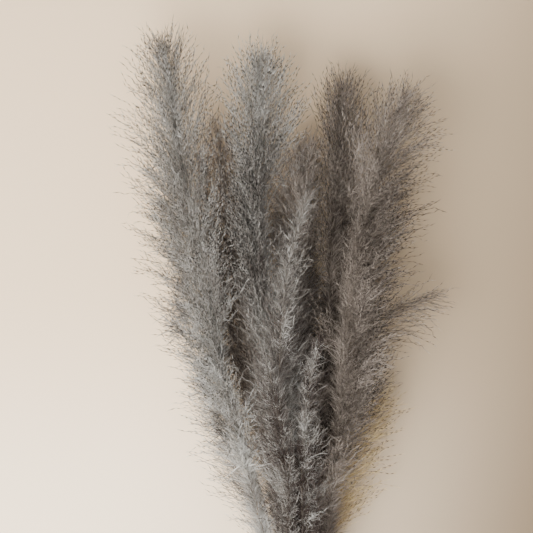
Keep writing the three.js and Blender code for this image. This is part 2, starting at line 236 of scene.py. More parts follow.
# kinds of hair: the degrees that they lean off their line, their length and their width
SPIKELET_HAIR = (15, 62), (5, 11), 0.45
FUZZ = (14, 80), (8, 18), 0.72
GAP_HAIR = (10, 90), (16, 34), 1.3
CORE_HAIR = (10, 72), (14, 30), 0.75
CULM_HAIR = (8, 70), (14, 38), 1.2 * 0.75
HAIR_THICKEST = 0.3
HAIRS_PER_SPIKELET = 0.22
FUZZ_PER_MM = 0.32  # of branch
FUZZ_TO = 0.85  # it stands on this share of a branch
CORE_HAIRS_PER_MM = 3.6  # of rachis
CORE_TONE = 0.42
CORE_THIN_FROM, CORE_THIN_OVER = 0.6, 0.4  # the last share of the rachis, where they thin out
CORE_THIN = 1.6  # and how much more they do than the strands
CULM_HAIRS_PER_MM, CULM_HAIRY = 7, 110  # on the last of the culm, and how much of it is hairy
GAP_TONE = 0.5
GAP_FROM = 0.2  # gap hairs stand on branches that meet another plant at least this closely
GAP_RISE = 15  # and that rise no further than this

TUFTED = 0.14  # this share of the branches on the upper side, low down, are pale tufts of fuzz
TUFT_TONE = 0.42
TUFT_FUZZ = 3.0
TUFT_RISE = 4  # a tufted branch rises at least this far
CURLS_PER_BRANCH = 1.1  # small curls on the upper side, where the plumes press together, pale as painted highlights
CURL_LINKS, CURL_STEP, CURL_WIDTH = 5, 3.0, 0.6
# the curls' pale tone is a painted highlight
CURL_HIGHLIGHT_TONE = 0.68
CURL_TURN = 0.55  # how far it turns at each link

DEEP_FROM, DEEP_OVER = 560, 300  # the bundle gets deep from this far past the tie, over this distance
SLIGHTLY_DEEP = 0.05
PALE_FROM = (0.7, 1.0)  # a plume pales towards its tip between these shares of its length
PRESSED_ROOM = (12, 55)  # a branch meets its neighbour with this much room or less, and not with the other
PRESSED_FROM = (750, 660)  # and only nearer to the tie, from the first of these to the second
CLUMP = (0.05, 0.18)  # how far whole branches differ in tone, at a plume's tip and low down
MOTTLE = (0.08, 0.28)  # how far the tone wavers there
MOTTLE_WAVES = 14
MOTTLE_LENGTHS = (46, 150, 70)  # aside, along Y and along Z
MOTTLE_FAN = (150, 500)  # the waves' lines meet this far behind the tie; their scale aside

# bands of a plume's map, along v; u is the tone
OUTER_BAND, HAIR_BAND, RACHIS_BAND, BRANCH_BAND, INNER_BAND = 0.05, 0.25, 0.45, 0.65, 0.8
HAIRS_FROM, STALKS_FROM, INNER_FROM = 0.2, 0.4, 0.78  # between them
BAND_HEIGHT = 0.1

CULM_ROUND = 0.92  # a round culm's radius as a share of its six-sided solid's
CULM_RINGS, ROUND_SIDES = 60, 14
CULM_COLUMNS = 4  # side by side on the map
FIRST_NODE, NODE_SPACING = (35, 90), (85, 150)  # from the cut end, and from node to node
NODE_CLEAR, LAST_NODE = 12, 25  # kept to the tie and to the plume's foot
NODE_SWELL, NODE_WIDTH = 0.07, 2.6
NODE_RINGS = (-5, -2.5, 0, 2.5, 5)
SCAR_RINGS, SCAR_RADII = (-1.1, -0.5, 0.3, 1.0), (1.0, 1.12, 1.12, 1.0)
CUT_DEPTHS = (1.4, 1.2, 0.3, 0.0, -0.5, -0.5, 0.6)  # a rim of hard rind round a sunken pith
CUT_RADII = (0.35, 0.6, 0.74, 0.8, 0.9, 0.97, 1.01)
SHEATH_CHANCE, SHEATH_LENGTH, LEAST_SHEATH = 0.6, (18, 62), 10
SHEATH_RINGS = 9
SHEATH_LIFT = (0.05, 0.42)  # off the culm, at its foot and at its edge
SHEATH_TORN = (-0.35, 0.12)  # how far its edge is torn back or juts out, as shares of its length
SHEATH_CLEAR = 8  # kept to the tie

PLIES = 3
PLY_RADIUS, PLY_OUT = 0.55, 0.5  # shares of the twine's radius
TWIST_PITCH = 9.0  # along the twine, for one turn of its plies
FRAY_FROM, FRAY_BAND = 0.8, 0.85

# bands of a culm's map, along v, and the places between them
RIND_BAND, SCAR_BAND, SHEATH_BAND, CUT_BAND = (0.02, 0.58), (0.62, 0.66), (0.7, 0.84), (0.9, 0.98)
SCARS_FROM, SHEATHS_FROM, CUTS_FROM = 0.6, 0.68, 0.87


# ---------------- small helpers

def unit(v):
    return v / np.maximum(np.linalg.norm(v, axis=-1, keepdims=True), 1e-12)


def lerp(a, b, t):
    return a + (b - a) * t


def chance(plant, item, purpose):
    """The CAD's repeatable number from 0 to 1 for a plant, a spray and a purpose."""
    x = np.sin(plant * 127.1 + item * 311.7 + purpose * 74.7 + 1) * 43758.5453
    return x - np.floor(x)


def across(ways):
    """Two directions across each way: sideways, and up as far as the way allows."""
    side = unit(np.cross(ways, Z))
    return side, unit(np.cross(side, ways))


def turned(ways, turn):
    """A direction across each way, turned round it."""
    side, up = across(ways)
    return side * np.cos(turn)[:, None] + up * np.sin(turn)[:, None]


def shown(tone):
    """Tones kept on the map."""
    return np.clip(tone, 0.01, 0.99)


def near_foot(up):
    """From 1 at a plume's foot to 0 where the foot ends."""
    return np.clip(1 - up / FOOT_PART, 0, 1)


def deep_down(spots):
    """From 0 where the plumes stand free to 1 near the tie, where they press together."""
    return np.clip((DEEP_FROM - spots[:, 1]) / DEEP_OVER, 0, 1)


def spaced(numbers):
    """For each line, a whole number of things: the line that each belongs to and its place in the row."""
    numbers = np.maximum(np.round(numbers), 1).astype(int)
    line = np.repeat(np.arange(len(numbers)), numbers)
    first = np.repeat(np.cumsum(numbers) - numbers, numbers)
    return line, np.arange(len(line)) - first


# ---------------- where each plant runs

def tie_slots():
    """The culms' places at the tie: rings of 3, 3 and 6 round the middle of a close packing."""
    circles = (
        (STEM_PITCH / math.sqrt(3), (90, 210, 330)),
        (2 * STEM_PITCH / math.sqrt(3), (30, 150, 270)),
        (STEM_PITCH * math.sqrt(7 / 3), (70.9, 109.1, 190.9, 229.1, 310.9, 349.1)),
    )
    return [
        (radius * math.cos(math.radians(a)), radius * math.sin(math.radians(a)))
        for radius, angles in circles
        for a in angles
    ]


class Axis:
    """A plant's line: its culm from the cut end through the tie to the foot, then its rachis to the tip."""

    ARC_STEPS = 400
    LINE_STEPS = 48
    LEAVES, ARRIVES = 0.36, 0.34  # the curve's handles, as shares of how far along Y it goes
    FOOT_STEP = 0.002

    def __init__(self, n, row):
        self.n = n
        self.tone, slot, tip, heading, pitch, lean, foot, self.reach, self.droop = row
        self.looks = SimpleNamespace(**{**USUAL_LOOKS, **OWN_LOOKS[n]})
        self.slot = np.array(tie_slots()[slot])
        self.start = np.array((self.slot[0], 0, TIE_HEIGHT + self.slot[1]))
        h, p = math.radians(heading), math.radians(pitch)
        last = np.array((math.sin(h) * math.cos(p), math.cos(h) * math.cos(p), math.sin(p)))
        end = np.array(tip, float) - TIP_TUFT * last
        leaving = np.array((lean[0], 1, lean[1]))
        self.control = np.array((
            self.start,
            self.start + leaving * self.LEAVES * end[1],
            end - last * self.ARRIVES * end[1],
            end,
        ))
        self.steps = np.linspace(0, 1, self.ARC_STEPS + 1)
        gone = np.linalg.norm(np.diff(self.at(self.steps), axis=0), axis=1)
        self.gone = np.concatenate(((0,), np.cumsum(gone)))
        self.length = self.gone[-1]
        self.foot = 0.0
        while self.at_share(self.foot)[1] < foot:
            self.foot += self.FOOT_STEP
        cut_y = CUT_END_Y + CUT_END_STAGGER * (chance(n, 0, 1) - 0.5)
        self.cut = np.array((self.slot[0] * CUT_END_SPREAD, cut_y, 0.0))

    def at(self, t):
        t = np.asarray(t, float)[..., None]
        a, b, c, d = self.control
        return (1 - t) ** 3 * a + 3 * (1 - t) ** 2 * t * b + 3 * (1 - t) * t * t * c + t**3 * d

    def slope(self, t):
        t = np.asarray(t, float)[..., None]
        a, b, c, d = self.control
        return unit((1 - t) ** 2 * (b - a) + 2 * (1 - t) * t * (c - b) + t * t * (d - c))

    def step_of(self, share):
        return np.interp(np.asarray(share) * self.length, self.gone, self.steps)

    def at_share(self, share):
        return self.at(self.step_of(share))

    def along(self, distance):
        """The line at a distance past the tie; past the rachis it runs straight on."""
        distance = np.asarray(distance, float)
        t = self.step_of(np.minimum(distance / self.length, 1))
        tangent = self.slope(t)
        past = np.maximum(distance - self.length, 0)[..., None]
        return self.at(t) + past * tangent, tangent


axes = [Axis(n, row) for n, row in enumerate(PLANTS)]
lowest_slot = min(axis.slot[1] for axis in axes)
for axis in axes:
    axis.cut[2] = CULM_CUT + (axis.slot[1] - lowest_slot) * CUT_END_SPREAD
    measured = axis.along((axis.length + TIP_TUFT) * np.linspace(0, 1, Axis.LINE_STEPS + 1))[0]
    axis.line = np.concatenate((axis.cut[None], measured))


def distance_to(axis, points):
    starts, runs = axis.line[:-1], np.diff(axis.line, axis=0)
    rel = points[:, None] - starts
    share = np.clip((rel * runs).sum(-1) / (runs * runs).sum(-1), 0, 1)
    return np.sqrt(((rel - share[..., None] * runs) ** 2).sum(-1).min(1))


def room(axis, points):
    """How much nearer each point is to its own plant than to any other."""
    own = distance_to(axis, points)
    others = [distance_to(other, points) for other in axes if other is not axis]
    return np.min(others, axis=0) - own


WAVES = np.random.default_rng(77).normal(0, 1, (MOTTLE_WAVES, 4))
WAVES *= (*(2 * np.pi / length for length in MOTTLE_LENGTHS), np.pi)


def mottle(spots):
    """A slow waver of the tone through the bundle, drawn out along the plumes."""
    x, y, z = spots.T
    past_tie, scale = MOTTLE_FAN
    aside = np.arctan2(x, y + past_tie) * scale
    return sum(np.sin(a * aside + b * y + c * z + d) for a, b, c, d in WAVES) / math.sqrt(MOTTLE_WAVES / 2)


# ---------------- meshes

class Build:
    """Gathers triangles, with a corner's place on the piece's own map, and makes one object of them."""

    def __init__(self):
        self.points, self.faces, self.maps, self.smooth = [], [], [], []
        self.count = 0

    def add(self, points, faces, corners, smooth):
        """points (n, 3) in millimetres, faces (m, 3), corners (m, 3, 2)."""
        self.points.append(points)
        self.faces.append(faces + self.count)
        self.maps.append(corners)
        self.smooth.append(np.full(len(faces), smooth))
        self.count += len(points)

    def make(self, name, material):
        points = (np.concatenate(self.points) * MM + offset).astype(np.float32)
        faces = np.concatenate(self.faces).astype(np.int32)
        mesh = bpy.data.meshes.new(name)
        mesh.vertices.add(len(points))
        mesh.vertices.foreach_set("co", points.ravel())
        mesh.loops.add(3 * len(faces))
        mesh.loops.foreach_set("vertex_index", faces.ravel())
        mesh.polygons.add(len(faces))
        mesh.polygons.foreach_set("loop_start", np.arange(0, 3 * len(faces), 3, dtype=np.int32))
        mesh.polygons.foreach_set("use_smooth", np.concatenate(self.smooth))
        own_map = mesh.uv_layers.new(name="OFBake")
        own_map.uv.foreach_set("vector", np.concatenate(self.maps).astype(np.float32).ravel())
        mesh.update(calc_edges=True)
        mesh.validate()
        mesh.materials.append(material)
        piece = bpy.data.objects.new(name, mesh)
        bpy.context.scene.collection.objects.link(piece)
        return piece


def tube_rings(centres, radii, sides, turn=0.0, frame=None):
    """Rings round each line of a batch: centres (b, r, 3), radii (b, r) -> (b, r, sides, 3)."""
    if frame is None:
        ahead = np.concatenate((centres[:, 1:], centres[:, -1:]), axis=1)
        behind = np.concatenate((centres[:, :1], centres[:, :-1]), axis=1)
        frame = across(unit(ahead - behind))
    side, up = frame
    angle = turn + 2 * np.pi * np.arange(sides) / sides
    wide = radii[..., None, None]
    return (
        centres[:, :, None]
        + side[:, :, None] * wide * np.cos(angle)[:, None]
        - up[:, :, None] * wide * np.sin(angle)[:, None]
    )


def closed(build, rings, centres, place):
    """Closed tubes from their rings (b, r, sides, 3), capped at the ends of their centre lines (b, r, 3).

    place(around, along) gives a corner's place on the map.
    """
    b, r, sides = rings.shape[:3]
    points = np.concatenate((rings.reshape(b, -1, 3), centres[:, :1], centres[:, -1:]), axis=1)
    ring, k = (x.ravel() for x in np.meshgrid(np.arange(r - 1), np.arange(sides), indexing="ij"))
    low, low_next = ring * sides + k, ring * sides + (k + 1) % sides
    high, high_next = low + sides, low_next + sides
    faces = [np.stack((low, low_next, high), 1), np.stack((low_next, high_next, high), 1)]
    around = [np.stack((k, k + 1, k), 1), np.stack((k + 1, k + 1, k), 1)]
    along = [np.stack((ring, ring, ring + 1), 1), np.stack((ring, ring + 1, ring + 1), 1)]
    k = np.arange(sides)
    k_next = (k + 1) % sides
    start, first, last = (r - 1) * sides, np.full(sides, r * sides), np.full(sides, r * sides + 1)
    faces += [np.stack((first, k_next, k), 1), np.stack((last, start + k, start + k_next), 1)]
    around += [np.stack((k + 0.5, k + 1, k), 1), np.stack((k + 0.5, k, k + 1), 1)]
    around = np.concatenate(around) / sides
    inner = 0.2 / (r - 1)
    caps = np.tile((inner, 0, 0), (sides, 1)), np.tile((1 - inner, 1, 1), (sides, 1))
    along = np.concatenate((np.concatenate(along) / (r - 1), *caps))
    faces = np.concatenate(faces) + np.arange(b)[:, None, None] * points.shape[1]
    corners = place(np.broadcast_to(around, faces.shape), np.broadcast_to(along, faces.shape))
    build.add(points.reshape(-1, 3), faces.reshape(-1, 3), corners.reshape(-1, 3, 2), True)


def tubes(build, centres, radii, sides, place, frame=None):
    """A batch of closed tubes."""
    closed(build, tube_rings(centres, radii, sides, frame=frame), centres, place)


def tube(build, centres, radii, sides, place, frame=None):
    """One closed tube; frame holds two directions across it at each centre."""
    batch = tuple(x[None] for x in frame) if frame else None
    tubes(build, centres[None], radii[None], sides, place, batch)


SLIVER_FACES = np.array(((0, 3, 2), (1, 2, 3), (0, 2, 1), (0, 1, 3)))
SLIVER_RIDGE, SLIVER_HEEL = 0.4, 0.3  # how far its edge and its root stand off the line, by its width
SLIVER_SHADE = 0.006  # how far the tone differs across it


def slivers(build, roots, ways, lengths, widths, thickest, tone, band, rng):
    """Thin closed solids of four faces: a point at each end and an edge across at the thickest place."""
    e1 = turned(ways, rng.uniform(0, 2 * np.pi, len(roots)))
    e2 = np.cross(ways, e1)
    lengths, widths = lengths[:, None], widths[:, None]
    middle = roots + ways * lengths * thickest + e2 * widths * SLIVER_RIDGE
    heel = roots - e2 * widths * SLIVER_HEEL
    edge = e1 * widths / 2
    points = np.stack((heel, roots + ways * lengths, middle - edge, middle + edge), 1)
    points[..., 2] = np.clip(points[..., 2], FLOOR_CLEARANCE, HIGHEST)
    u = np.stack((tone, tone, tone - SLIVER_SHADE, tone + SLIVER_SHADE), 1)
    v = np.broadcast_to(band, len(roots))[:, None] + BAND_HEIGHT * np.array((0, 1, thickest, thickest))
    at = np.stack((u, v), -1)
    faces = SLIVER_FACES + 4 * np.arange(len(roots))[:, None, None]
    corners = at[:, SLIVER_FACES].reshape(-1, 3, 2)
    build.add(points.reshape(-1, 3), faces.reshape(-1, 3), corners, False)


def hairs(build, kind, roots, ways, tone, rng, spread=0, longer=1.0, wider=1.0):
    """Hairs of a kind that start on lines at roots, anywhere within spread along ways, and lean off them."""
    angles, length, width = kind
    n = len(roots)
    spin = rng.uniform(0, 2 * np.pi, n)
    wide = np.radians(rng.uniform(*angles, n))[:, None]
    way = unit(ways * np.cos(wide) + turned(ways, spin) * np.sin(wide))
    start = roots + ways * (spread * rng.uniform(0.1, 0.7, n))[:, None]
    lengths = rng.uniform(*length, n) * longer
    widths = width * wider * rng.uniform(0.75, 1.3, n)
    tone = shown(tone + rng.normal(0, 0.14, n))
    slivers(build, start, way, lengths, widths, HAIR_THICKEST, tone, HAIR_BAND, rng)


# ---------------- plumes

def spray_points(axis, start, turn, reach, opening, place, radius):
    """A point of each spray's arc, drawn in until it is clear of the other plants. See part.mjs's rule."""
    first, bend = 0.7 * opening, 0.55 * opening
    forward = reach * (np.sin(first + bend * place) - np.sin(first)) / bend
    outward = reach * (np.cos(first) - np.cos(first + bend * place)) / bend
    point, tangent = axis.along(start + forward)
    side, up = across(tangent)
    out = outward[:, None]
    aside = side * out * np.cos(turn)[:, None] + up * out * np.sin(turn)[:, None]
    aside[:, 1] -= axis.droop * outward * place * place

    def placed(share):
        p = point + aside * share[:, None]
        p[:, 2] = np.maximum(p[:, 2], 0.55 * radius)
        return p

    def clear(share):
        return room(axis, placed(share)) > 2 * (radius + SPRAY_CLEARANCE)

    low, high = np.zeros(len(start)), np.ones(len(start))
    if place == 0:
        return placed(high), high
    free = clear(high)
    for _ in range(6):
        middle = (low + high) / 2
        ok = clear(middle)
        low, high = np.where(ok, middle, low), np.where(ok, high, middle)
    share = np.where(free, 1, low)
    return placed(share), share


def sprays(axis):
    """The branches of a plume: their root, middle and tip, how far up the rachis each one stands, its size,
    its distance past the tie, and whether it stands between two sprays of the CAD."""
    count = round((1 - axis.foot) * axis.length * SPRAYS_PER_MM)
    item = np.arange(0, count, 1 / BRANCHES_PER_SPRAY)
    up = (item + 0.5) / count
    size = 0.82 + 0.36 * chance(axis.n, item, 3)
    reach = axis.reach * size * (0.3 + 1.5 * up**0.75 * (1 - 0.72 * up**3))
    opening = np.radians(60 - 38 * up**2.5) * (0.88 + 0.24 * chance(axis.n, item, 4))
    start = lerp(axis.foot * axis.length + 8, axis.length - 2, up)
    widest = SPRAY_RADIUS * (0.75 + 0.25 * size)
    aim = item * GOLDEN_ANGLE + chance(axis.n, item, 2) * 0.5
    best = np.full(len(item), -1.0)
    points = np.zeros((len(item), 3, 3))
    done = np.zeros(len(item), bool)
    for aside in SIDEWAYS:
        found = [
            spray_points(axis, start, aim + aside, reach, opening, t, w * widest)
            for t, w in zip(SPRAY_PLACES, SPRAY_WIDTHS)
        ]
        open_share = np.minimum(found[1][1], found[2][1]) - 0.03 * abs(aside)
        better = ~done & (open_share > best)
        best[better] = open_share[better]
        points[better] = np.stack([p for p, _ in found], 1)[better]
        done |= open_share > OPEN_ENOUGH
    kept = best >= TOO_PRESSED
    return points[kept], up[kept], size[kept], start[kept], item[kept] % 1 > 0


def on_branch(points, t):
    """Where each branch runs, t from 0 to 1: the curve through its root, middle and tip, and its slope."""
    m = SPRAY_PLACES[1]
    a, b, c = points[..., 0, :], points[..., 1, :], points[..., 2, :]
    t = t[..., None]
    spot = a * (t - m) * (t - 1) / m + b * t * (t - 1) / (m * (m - 1)) + c * t * (t - m) / (1 - m)
    way = a * (2 * t - m - 1) / m + b * (2 * t - 1) / (m * (m - 1)) + c * (2 * t - m) / (1 - m)
    return spot, unit(way)


def branches(axis, points, start, share):
    """The branches from their sprays: they leave the rachis lower down and closer to it."""
    _, tangent = axis.along(start)
    tip = lerp(points[:, 0], points[:, 2], share[:, None])
    ahead = ((tip - points[:, 0]) * tangent).sum(-1)
    aside = np.linalg.norm(tip - points[:, 0] - tangent * ahead[:, None], axis=1)
    lower = np.maximum(start - BRANCH_ACUTE * aside, axis.foot * axis.length - BRANCH_PAST_FOOT)
    root, tangent = axis.along(lower)
    run = tip - root
    bend = root + 0.5 * run + BRANCH_BEND * (tangent * np.linalg.norm(run, axis=1)[:, None] - run)
    m = SPRAY_PLACES[1]
    middle = (1 - m) ** 2 * root + 2 * m * (1 - m) * bend + m * m * tip
    middle[:, 2] = np.maximum(middle[:, 2], BRANCH_LOWEST)
    return np.stack((root, middle, tip), 1)


def fan(axis, spots, spread):
    """Which way strands point: along the rachis, and turned outward with the distance from it."""
    places = np.linspace(axis.foot * axis.length - BRANCH_PAST_FOOT, axis.length + TIP_TUFT, 90)
    line, slope = axis.along(places)
    nearest = ((spots[:, None] - line) ** 2).sum(-1).argmin(1)
    ahead = slope[nearest]
    away = spots - line[nearest]
    away -= ahead * (away * ahead).sum(-1, keepdims=True)
    far = np.linalg.norm(away, axis=1)
    up = np.clip((places[nearest] / axis.length - axis.foot) / (1 - axis.foot), 0, 1)
    wide = np.radians(lerp(*FAN, up**2)) * np.clip(far / (FAN_FULL * axis.reach), FAN_LEAST, 1) * spread
    way = unit(ahead * np.cos(wide)[:, None] + unit(away) * np.sin(wide)[:, None])
    return way, places[nearest], far, wide


class Plume:
    """A plume in the making. Its parts share one random generator, so plume() adds them in a fixed order."""

    def __init__(self, axis):
        self.axis, self.looks = axis, axis.looks
        self.rng = np.random.default_rng(PLUME_SEED + axis.n)
        self.build = Build()
        self.foot = axis.foot * axis.length - 2
        self.top = axis.length - self.looks.tip_drop
        self.foot_y, self.tip_y = axis.at_share(axis.foot)[1], axis.at_share(1)[1]
        self.lay_branches()
        self.set_tones()

    def lay_branches(self):
        """Each branch, cut where the strands on it would pass the plume's top too far."""
        axis, looks, rng = self.axis, self.looks, self.rng
        points, up, size, start, between = sprays(axis)
        kept = start < self.top
        points, up, size, start, between = (x[kept] for x in (points, up, size, start, between))
        rest, first = rng.uniform(*REST_REACH, len(up)), rng.uniform(*FIRST_REACH, len(up))
        share = np.where(between, rest, first)
        share *= looks.slender
        share *= 1 - FOOT_SHRINK * near_foot(up)
        share *= 1 - looks.taper * up
        tips = branches(axis, points, start, share)[:, 2]
        _, place, far, _ = fan(axis, tips, 1)
        past = place + TIP_TAPER * far - self.top - BRANCH_OVER * TIP_OVER
        share *= 1 - np.clip(past / np.linalg.norm(points[:, 2] - points[:, 0], axis=1), 0, MOST_CUT)
        self.points = branches(axis, points, start, share)
        self.roots, self.tips = self.points[:, 0], self.points[:, 2]
        self.up, self.size = up, size
        self.long = np.linalg.norm(self.tips - self.roots, axis=1)
        self.tip_thinned = 1 - looks.tip_thin * np.clip((up - TIP_PART) / (1 - TIP_PART), 0, 1)

    def set_tones(self):
        """How deep in the bundle each branch's tip is, how it meets other plants, and its own tone, with
        painted shade where it lies under a neighbour.
        """
        rng, tips, count = self.rng, self.tips, len(self.tips)
        self.deep = deep_down(tips)
        self.clump = rng.normal(0, 1, count) * lerp(*CLUMP, self.deep)
        least, most = PRESSED_ROOM
        begin, end = PRESSED_FROM
        self.meets = np.clip((most - room(self.axis, tips)) / (most - least), 0, 1)
        self.meets *= np.clip((begin - tips[:, 1]) / (begin - end), 0, 1)
        # painted shade where the branch lies under its neighbour
        self.clump -= self.looks.pressed * self.meets
        self.tufted = (self.deep > SLIGHTLY_DEEP) & (tips[:, 2] > self.roots[:, 2] + TUFT_RISE)
        self.tufted &= rng.uniform(0, 1, count) < TUFTED
        self.clump += TUFT_TONE * self.tufted * (0.5 + 0.5 * self.deep)

    def tone_at(self, spots):
        """Painted shade towards the tie, paler at the tip and where the looks say so, and mottled."""
        looks, deep = self.looks, deep_down(spots)
        share = (spots[:, 1] - self.foot_y) / (self.tip_y - self.foot_y)
        low, high = PALE_FROM
        paler = looks.pale_tip * np.clip((share - low) / (high - low), 0, 1)
        by, begin, end = looks.pale_foot
        paler = paler + by * np.clip((begin - spots[:, 1]) / (begin - end), 0, 1)
        # the looks' tone near the tie is painted shade, deepest where the bundle lies deep
        return looks.tone + paler - looks.darker * deep + lerp(*MOTTLE, deep) * mottle(spots)

    def add_rachis(self):
        places = np.linspace(0, 1, RACHIS_RINGS)
        centres = self.axis.along(lerp(self.foot, self.top + RACHIS_OVER, places))[0]
        radii = lerp(CULM_FOOT, RACHIS_TIP_RADIUS, places**RACHIS_TAPER)

        def place(around, along):
            return np.stack((0.1 + 0.2 * around, RACHIS_BAND + BAND_HEIGHT * along), -1)

        tube(self.build, centres, radii, RACHIS_SIDES, place)

    def add_branches(self):
        t = np.broadcast_to(np.linspace(0, 1, BRANCH_RINGS), (len(self.points), BRANCH_RINGS))
        centres = on_branch(self.points[:, None], t)[0]
        radii = lerp(*BRANCH_RADII, t) * (0.8 + 0.3 * self.size[:, None])
        tone = 0.55 + (self.clump + self.tone_at(self.points[:, 1]))[:, None, None]

        def place(around, along):
            return np.stack((shown(tone + 0.05 * around), BRANCH_BAND + BAND_HEIGHT * along), -1)

        tubes(self.build, centres, radii, BRANCH_SIDES, place)

    def add_strands(self):
        """The strands on every branch, each a chain of spikelets that turns from its branch to the fan."""
        axis, looks, rng = self.axis, self.looks, self.rng
        thinned = looks.density * (self.tip_thinned - FOOT_THIN * near_foot(self.up))
        numbers = self.long * STRANDS_PER_MM * thinned
        branch, order = spaced(numbers)
        count = len(branch)
        share = (order + rng.uniform(0, 1, count)) / (numbers + 1)[branch]
        t = np.clip(lerp(STRAND_FROM, 1, share), 0, 0.98)
        at, ways = on_branch(self.points[branch], t)
        roll = order * GOLDEN_ANGLE + 2 * np.pi * chance(axis.n, branch, 6) + rng.normal(0, 0.5, count)
        angle = np.radians(rng.uniform(*STRAND_LEAVES, count))[:, None]
        leave = ways * np.cos(angle) + turned(ways, roll) * np.sin(angle)
        still, drooping = DROOP_SINK
        sink = (rng.uniform(0, STRAND_SINK, count) * (still + drooping * axis.droop))[:, None]
        fanned, place, far, wide = fan(axis, at, rng.uniform(*FAN_SPREAD, count))
        arrive = unit(fanned + rng.normal(0, looks.stray, at.shape) - sink * np.array((0, 1, 0)))
        lengths = lerp(*STRAND_LENGTH, t) * rng.uniform(*STRAND_STRETCH, count)
        lengths *= 1 - STRAND_TAPER * looks.taper * self.up[branch]
        lengths = np.minimum(lengths, (1 - t) * self.long[branch] + STRAND_PAST_BRANCH)
        left = self.top + TIP_OVER * (0.55 + 0.7 * rng.uniform(0, 1, count) ** 3) - place - TIP_TAPER * far
        lengths = np.minimum(lengths, left / (np.cos(wide) + TIP_TAPER * np.sin(wide)))
        links = np.maximum(np.round(lengths / SPIKELET_PITCH), 1).astype(int)
        tone = 0.5 + self.clump[branch] + rng.normal(0, 0.07, count) + self.tone_at(at)
        phase = rng.uniform(0, 2 * np.pi, count)
        everywhere, low_down = looks.dark_hidden
        hidden = everywhere + low_down * self.deep[branch]
        edge = np.where(self.tufted[branch], 1, rng.uniform(*OUTER_FROM, count) + hidden)
        at_root, at_spikelet = STRAND_WANDER
        wander = rng.normal(0, at_root, (count, 3))
        for link in range(links.max()):
            live = link < links
            at, leave, arrive, links, tone, t, phase, edge, wander = (
                x[live] for x in (at, leave, arrive, links, tone, t, phase, edge, wander)
            )
            wander = wander + rng.normal(0, at_spikelet, wander.shape)
            share = link / links
            way = unit(lerp(leave, arrive, (share**STRAND_TURNS)[:, None]) + wander)
            outer = np.clip(0.7 * t + 0.3 * share, 0, 1)
            at = self.add_spikelets(at, way, phase + np.pi * link, outer, outer > edge, tone)

    def add_spikelets(self, at, way, phase, outer, dark, tone):
        """One spikelet of each strand, some with hairs. Returns where the next ones start."""
        rng, count = self.rng, len(at)
        turn = phase + rng.normal(0, 0.5, count)
        lean = (SPIKELET_ASIDE * rng.uniform(0.4, 1.6, count))[:, None]
        body = way * np.cos(lean) + turned(way, turn) * np.sin(lean)
        stretch = rng.uniform(0.85, 1.2, count)
        rim = RIM_DEEPER * np.clip((outer - RIM_FROM) / RIM_OVER, 0, 1)
        # spikelets further out are paler and inner ones deeper in tone: partly their own browner colour,
        # partly painted shade of the plume's inside
        tone = shown(tone - 0.2 + 0.4 * outer - rim + rng.normal(0, 0.05, count))
        width = SPIKELET_WIDTH * lerp(*SPIKELET_FADE, outer) * rng.uniform(0.8, 1.15, count)
        band = np.where(dark, OUTER_BAND, INNER_BAND)
        slivers(self.build, at, body, SPIKELET_LENGTH * stretch, width, SPIKELET_THICKEST, tone, band, rng)
        pick = rng.uniform(0, 1, count) < HAIRS_PER_SPIKELET * (1.8 - 1.3 * outer)
        hairs(self.build, SPIKELET_HAIR, at[pick], body[pick], tone[pick], rng, spread=SPIKELET_LENGTH)
        return at + body * (SPIKELET_PITCH * stretch)[:, None]

    def add_fuzz(self):
        """The silky hairs along every branch, closer on tufts, and closer and wider low down if backing."""
        looks, rng = self.looks, self.rng
        backing = lerp(1, looks.backing, self.deep)
        tufts = np.where(self.tufted, TUFT_FUZZ, 1)
        branch, _ = spaced(self.long * (FUZZ_PER_MM * backing * looks.density**2 * self.tip_thinned * tufts))
        t = rng.uniform(0, np.where(self.tufted, 1, FUZZ_TO)[branch])
        roots, ways = on_branch(self.points[branch], t)
        tone = 0.5 + self.clump[branch] + 0.2 * t + self.tone_at(roots)
        hairs(self.build, FUZZ, roots, ways, tone, rng, longer=1.15 - 0.4 * t, wider=backing[branch])

    def add_gap_hairs(self):
        """Wide hairs on the branches that meet another plant, which close the gap between the two."""
        branch, _ = spaced(self.long * self.looks.gap_hairs)
        beside = (self.meets > GAP_FROM) & (self.tips[:, 2] < self.roots[:, 2] + GAP_RISE)
        branch = branch[beside[branch]]
        roots, ways = on_branch(self.points[branch], self.rng.uniform(0.5, 1, len(branch)))
        hairs(self.build, GAP_HAIR, roots, ways, GAP_TONE + self.tone_at(roots), self.rng)

    def add_core_hairs(self):
        """Hairs along the rachis, thinner towards the tip, and then along the last of the culm."""
        looks, rng = self.looks, self.rng
        lowest = self.foot - BRANCH_PAST_FOOT
        run = self.top - lowest
        place = rng.uniform(lowest, self.top + RACHIS_OVER, int(CORE_HAIRS_PER_MM * looks.density**2 * run))
        thin_from = lerp(lowest, self.top, CORE_THIN_FROM)
        near_tip = np.clip((place - thin_from) / (CORE_THIN_OVER * run), 0, 1)
        place = place[rng.uniform(0, 1, len(place)) > CORE_THIN * looks.tip_thin * near_tip]
        roots, ways = self.axis.along(place)
        hairs(self.build, CORE_HAIR, roots, ways, CORE_TONE + self.tone_at(roots), rng)
        place = rng.uniform(self.foot - CULM_HAIRY, self.foot, CULM_HAIRS_PER_MM * CULM_HAIRY)
        roots, ways = self.axis.along(place)
        hairs(self.build, CULM_HAIR, roots, ways, 0.5 + self.tone_at(roots), rng)

